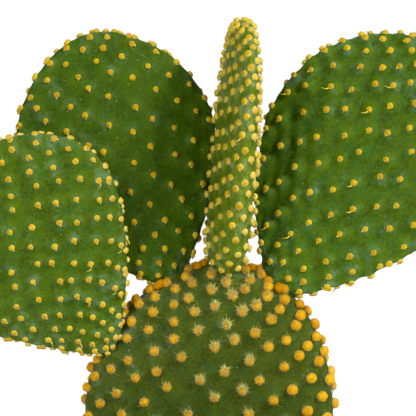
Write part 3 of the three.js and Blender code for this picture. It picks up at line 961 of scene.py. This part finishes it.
# How plump each pad's tufts are, what share of them has a hook, how far their bristles have dried to
# straw all round, and how much paler they are painted on the side that faces the right lamp, as
# painted light.
YOUNG_TUFTS = {
    "left_front_pad": {"plump": 0.8, "hooked": 0.06, "straw": 0.65, "paled": 0.25},
    "left_back_pad": {"plump": 0.86, "hooked": 0.02, "straw": 0.3, "paled": 0.0},
    "centre_pad": {"plump": 0.96, "hooked": 0.03, "straw": 0.7, "paled": 0.4},
    "right_pad": {"plump": 0.86, "hooked": 0.1, "straw": 0.45, "paled": 0.0},
}
young_wool = wool_finish("young_bristles", srgb(170, 133, 0), srgb(230, 193, 0), srgb(226, 202, 100))
t = np.linspace(0, 1, LEAF_STEPS)
for name, tuft in YOUNG_TUFTS.items():
    draw = np.random.default_rng(PADS[name]["seed"] + 20)
    own, place, out, foot = standing_spots(name, tuft_spots(PADS[name]), placed_tufts, ROOM)
    count = len(place)
    size = YOUNG_TUFT["radius"] * (tuft["plump"] + 0.18 * draw.random(count))
    tone = draw.random(count)
    balls = cushions(YOUNG_BALL, (place, out, foot), size * 0.95, YOUNG_DOME, np.full(count, 0.1), draw)
    heading = dome_directions(FINE_BRISTLES, 0.05, 0.6, count, draw)
    heading /= np.linalg.norm(heading, axis=-1, keepdims=True)
    long = 1.0 + 0.25 * draw.random((count, FINE_BRISTLES))
    near = domed(place, out, foot, size, YOUNG_DOME, heading * 0.6)
    far = domed(place, out, foot, size, YOUNG_DOME, heading * long[..., None])
    bristles = spikes(near.reshape(-1, 3), far.reshape(-1, 3), FINE_RADIUS)
    side = np.cross(foot, out)
    hooked = draw.random(count) < tuft["hooked"]
    reach = np.where(hooked, 1.5 + 0.8 * draw.random(count), 0.6 + 0.8 * draw.random(count))
    swing = np.where(hooked, 1.8 + 1.8 * draw.random(count), draw.random(count) - 0.5)
    start = place + foot * (0.5 * size)[:, None] + out * (0.3 * size)[:, None]
    bend = np.where(hooked[:, None], np.sin(0.5 * pi * t), t)
    arch = np.where(hooked, 0.8, 0.15)[:, None] * np.sin(pi * t)
    leaf_paths = (start[:, None] + foot[:, None] * (reach[:, None] * bend)[..., None]
                  + side[:, None] * (swing[:, None] * t**2)[..., None] + out[:, None] * arch[..., None])
    taper = LEAF_RADIUS * np.where(hooked, 0.55, 1.0)[:, None] * (1 - 0.8 * t)
    leaves = tubes(leaf_paths, taper, LEAF_SIDES)
    leaf_points = leaves.shape[0] * leaves.shape[1]
    points, faces = joined([
        (balls, closed_faces(len(YOUNG_TILTS), YOUNG_AROUND)),
        (bristles, SPIKE_FACES),
        (leaves, closed_faces(LEAF_STEPS - 2, LEAF_SIDES)),
    ])
    # Tufts whose faces turn to the right, towards the right lamp, are painted paler: painted light.
    painted_lit_side = tuft["paled"] * np.clip(1.5 * out[:, 0], 0, 1)[:, None]
    paler = tuft["straw"] * (1 - np.clip(YOUNG_BALL[:, 2], 0, 1)) ** 1.3 + painted_lit_side
    palest = tuft["straw"] * (1 - 0.6 * np.clip(heading[..., 2], 0, 1)) + painted_lit_side
    wool = make_piece(name + "_tufts", points, faces, young_wool, {
        "tip": np.concatenate([
            np.tile(0.6 - 0.2 * YOUNG_BALL[:, 2], count),
            np.tile([0.5, 0.5, 0.5, 1.0], len(bristles)),
            np.full(leaf_points, 0.8)]),
        "tone": np.concatenate([
            np.repeat(tone, len(YOUNG_BALL)),
            np.repeat(tone, 4 * FINE_BRISTLES),
            np.repeat(tone, leaves.shape[1])]),
        "dry": np.concatenate([
            paler.ravel(),
            np.outer(palest, [0.3, 0.3, 0.3, 1.0]).ravel(),
            np.full(leaf_points, 0.65)]),
    })
    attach(wool, "root")

# ---- The young pads' stray bristles ---------------------------------------------------------------
# Bristles that have dropped from the tufts and cling to the waxy skin: short, thin and bent, and so
# bleached that the skin's green shows through them.

STRAYS = 80
STRAY_STEPS = 7
STRAY_SIDES = 3
STRAY_RADIUS = 0.16
STRAY_LIFT = 0.02
STRAY_LIMIT = 0.97
paled = wool_finish("bleached_bristles", srgb(96, 130, 78), srgb(122, 152, 100), srgb(150, 172, 130))
t = np.linspace(0, 1, STRAY_STEPS)
for name in YOUNG_TUFTS:
    pad = PADS[name]
    chance = np.random.default_rng(pad["seed"] + 40).random((STRAYS, 8))[..., None]
    heading = 2 * pi * chance[:, 0] + 4 * (chance[:, 1] - 0.5) * t
    step = (0.8 + 2 * chance[:, 2] ** 2) / STRAY_STEPS
    s = 1.8 * (chance[:, 3] - 0.5) + np.cumsum(np.sin(heading) * step, axis=1) / (pad["length"] / 2)
    s = np.clip(s, -STRAY_LIMIT, STRAY_LIMIT)
    half_width = half_sizes(pad, s)[0]
    aside = 1.9 * (chance[:, 4] - 0.5) + np.cumsum(np.cos(heading) * step, axis=1) / half_width
    aside = np.clip(aside, -STRAY_LIMIT, STRAY_LIMIT)
    face = np.where(chance[:, 5] < 0.5, 1, -1)
    angle = face * np.arccos(np.sign(aside) * np.abs(aside) ** (SECTION_POWER / 2))
    own = skin_points(pad, s, angle)
    lift = relief(name, own.reshape(-1, 3)).reshape(s.shape) + STRAY_LIFT
    paths = to_plant(pad, own) + skin_normals(pad, s, angle) @ pad_axes(pad).T * lift[..., None]
    others = [other for key, other in PADS.items() if key != name]
    paths = paths[np.all([depth_in(other, paths[:, 0], 1) >= 1 for other in others], axis=0)]
    radii = np.broadcast_to(STRAY_RADIUS * (1 - 0.5 * t), paths.shape[:2])
    shapes = tubes(paths, radii, STRAY_SIDES)
    points, faces = many(shapes, closed_faces(STRAY_STEPS - 2, STRAY_SIDES))
    tone = 0.5 + 0.5 * np.sin(2.4 * np.arange(len(shapes)))
    strays = make_piece(name + "_stray_bristles", points, faces, paled, {
        "tip": np.full(len(points), 0.7),
        "tone": np.repeat(tone, shapes.shape[1]),
        "dry": np.full(len(points), 0.5),
    })
    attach(strays, "root")

# ---- Where it stands ------------------------------------------------------------------------------
# A plain pale floor, three soft lamps and the camera of the photograph: a metre away, looking down
# at the middle of the plant by ten degrees.

VIEW_DISTANCE = 1.0
VIEW_DOWN = radians(10)
VIEW_AIM = Vector((0, 0, 0.197))
VIEW_LENS = 207.7
SENSOR = 36
SKY_STRENGTH = 0.12
FLOOR_SIZE = 30.0

camera_data = bpy.data.cameras.new("camera")
camera_data.lens = VIEW_LENS
camera_data.sensor_width = SENSOR
camera_data.clip_end = 100
camera = bpy.data.objects.new("camera", camera_data)
camera.location = VIEW_AIM + Vector((0, -cos(VIEW_DOWN), sin(VIEW_DOWN))) * VIEW_DISTANCE
camera.rotation_euler = (VIEW_AIM - camera.location).to_track_quat("-Z", "Y").to_euler()
bpy.context.scene.collection.objects.link(camera)
bpy.context.scene.camera = camera

# Each lamp's place, how wide it looks in degrees, and its strength.
LAMPS = {
    "right_soft_lamp": ((0.79, -0.62, 0.7), 18, 2.75),
    "left_soft_lamp": ((-0.5, -0.87, 0.47), 18, 1.65),
    "back_lamp": ((0.1, 0.8, 0.75), 40, 1.3),
}
for name, (place, spread, power) in LAMPS.items():
    lamp_data = bpy.data.lights.new(name, "SUN")
    lamp_data.angle = radians(spread)
    lamp_data.energy = power
    lamp = bpy.data.objects.new(name, lamp_data)
    lamp.location = place
    lamp.rotation_euler = (-Vector(place)).to_track_quat("-Z", "Y").to_euler()
    bpy.context.scene.collection.objects.link(lamp)

world = bpy.data.worlds.new("studio")
world.use_nodes = True
world.node_tree.nodes["Background"].inputs["Color"].default_value = (1, 1, 1, 1)
world.node_tree.nodes["Background"].inputs["Strength"].default_value = SKY_STRENGTH
bpy.context.scene.world = world
bpy.context.scene.view_settings.view_transform = "Standard"

floor_finish = Finish("pale_floor")
floor_tint = floor_finish.mix(floor_finish.noise(0.5), (0.95, 0.95, 0.95, 1), (0.98, 0.98, 0.98, 1))
floor_finish.surface(floor_tint, 0.9)
half = FLOOR_SIZE / 2 / MM
floor_points = np.array([[-half, -half, 0], [half, -half, 0], [half, half, 0], [-half, half, 0]])
floor = make_piece("floor", floor_points, [np.array([[0, 1, 2, 3]])], floor_finish.material)

# The backdrop: a round wall at the floor's edge that glows as pale as the floor looks. It only
# shows behind the plant, and neither lights it nor shades it.
BACKDROP_TALL = 12.0
BACKDROP_SIDES = 48
BACKDROP_REACH = 0.98

turn = np.arange(BACKDROP_SIDES) * 2 * pi / BACKDROP_SIDES
ring = np.stack([np.cos(turn), np.sin(turn), np.zeros(BACKDROP_SIDES)], -1) * half * BACKDROP_REACH
wall_points = np.concatenate([ring, ring + [0, 0, BACKDROP_TALL / MM]])
glow = Finish("pale_backdrop", Emission_Strength=1.02, Specular_IOR_Level=0.0)
glow.feed(glow.shader.inputs["Emission Color"],
          glow.mix(glow.noise(0.5), (0.98, 0.98, 0.98, 1), (1, 1, 1, 1)))
backdrop = make_piece("backdrop", wall_points, [ring_faces(2, BACKDROP_SIDES)],
                      glow.surface((0, 0, 0, 1), 1.0))
backdrop.visible_diffuse = backdrop.visible_glossy = backdrop.visible_shadow = False
